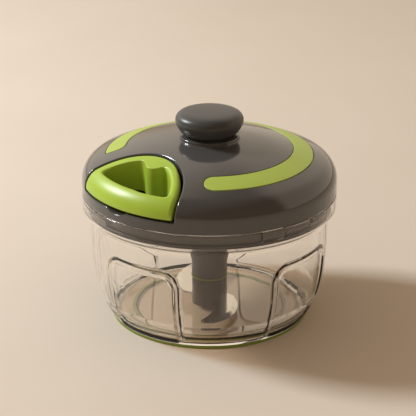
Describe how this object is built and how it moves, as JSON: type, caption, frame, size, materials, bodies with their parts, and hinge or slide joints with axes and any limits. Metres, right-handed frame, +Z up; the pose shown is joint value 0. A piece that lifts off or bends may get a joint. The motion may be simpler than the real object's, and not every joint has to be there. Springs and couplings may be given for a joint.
{
  "type": "pull cord food chopper",
  "caption": "Hand pulled food chopper: clear round bowl with recessed grips, domed lid with a knob, a pull handle on a wound cord, and a spinning blade unit.",
  "frame": {"origin": "centre of the foot's underside, on the surface that the chopper stands on", "axes": "+Z is up along the axis that the blades spin on; the pull handle lies at the -Y side of the lid and is pulled towards -Y"},
  "size_m": [0.13, 0.13, 0.1085],
  "materials": {
    "clear_plastic": "clear and polished",
    "ring_rubber": "matt green",
    "seal_rubber": "matt dark grey",
    "lid_grey": "glossy warm dark grey",
    "knob_grey": "satin warm dark grey",
    "lid_base_grey": "satin warm dark grey",
    "accent_green": "matt lime green",
    "handle_green": "satin lime green",
    "shaft_grey": "matt dark grey",
    "hub_grey": "glossy dark grey",
    "inner_white": "natural white",
    "inner_grey": "plain mid grey",
    "fastener_steel": "plated steel",
    "spring_steel": "blued strip steel",
    "blade_steel": "mirror polished stainless steel",
    "cord": "braided off-white cord"
  },
  "bodies": {
    "bowl": {"bowl": "clear_plastic", "base_ring": "ring_rubber", "pivot_pin": "fastener_steel"},
    "seal": {"seal_ring": "seal_rubber"},
    "lid": {"top_cover": "lid_grey", "accent_band": "accent_green", "knob": "knob_grey", "lid_base": "lid_base_grey", "cover_screw_1": "fastener_steel", "cover_screw_2": "fastener_steel", "cover_screw_3": "fastener_steel", "drive_bush": "inner_white", "spring_housing": "inner_grey", "recoil_spring": "spring_steel", "axle_bolt": "fastener_steel", "cord_guide": "inner_white", "pull_cord": "cord"},
    "handle": {"pull_handle": "handle_green", "cord_ferrule": "fastener_steel", "cord_tail": "cord"},
    "rotor": {"spool": "inner_white", "drive_shaft": "inner_grey", "drive_screw_1": "fastener_steel", "drive_screw_2": "fastener_steel"},
    "blade_unit": {"blade_shaft": "shaft_grey", "joint_ring": "ring_rubber", "blade_hub": "hub_grey", "blade_lower": "blade_steel", "blade_upper": "blade_steel"}
  },
  "joints": [
    {"name": "lid_lift", "type": "slide", "parent": "bowl", "child": "seal", "axis": [0, 0, 1], "range_m": [0, 0.1]},
    {"name": "lid_twist", "type": "hinge", "parent": "seal", "child": "lid", "pos_m": [0, 0, 0.06], "axis": [0, 0, 1], "range_deg": [-16.5, 0]},
    {"name": "handle_pull", "type": "slide", "parent": "lid", "child": "handle", "axis": [0, -1, 0], "range_m": [0, 0.3], "stiffness_N_per_m": 15, "springref_m": -0.15},
    {"name": "spool_spin", "type": "hinge", "parent": "lid", "child": "rotor", "pos_m": [0, 0, 0.08], "axis": [0, 0, 1], "range_deg": [0, 994]},
    {"name": "blade_unit_stay", "type": "slide", "parent": "rotor", "child": "blade_unit", "axis": [0, 0, -1], "range_m": [0, 0.1]}
  ],
  "couplings": [
    {"joint": "spool_spin", "follows": "handle_pull", "rad_per_m": 57.803},
    {"joint": "blade_unit_stay", "follows": "lid_lift", "ratio": 1}
  ]
}
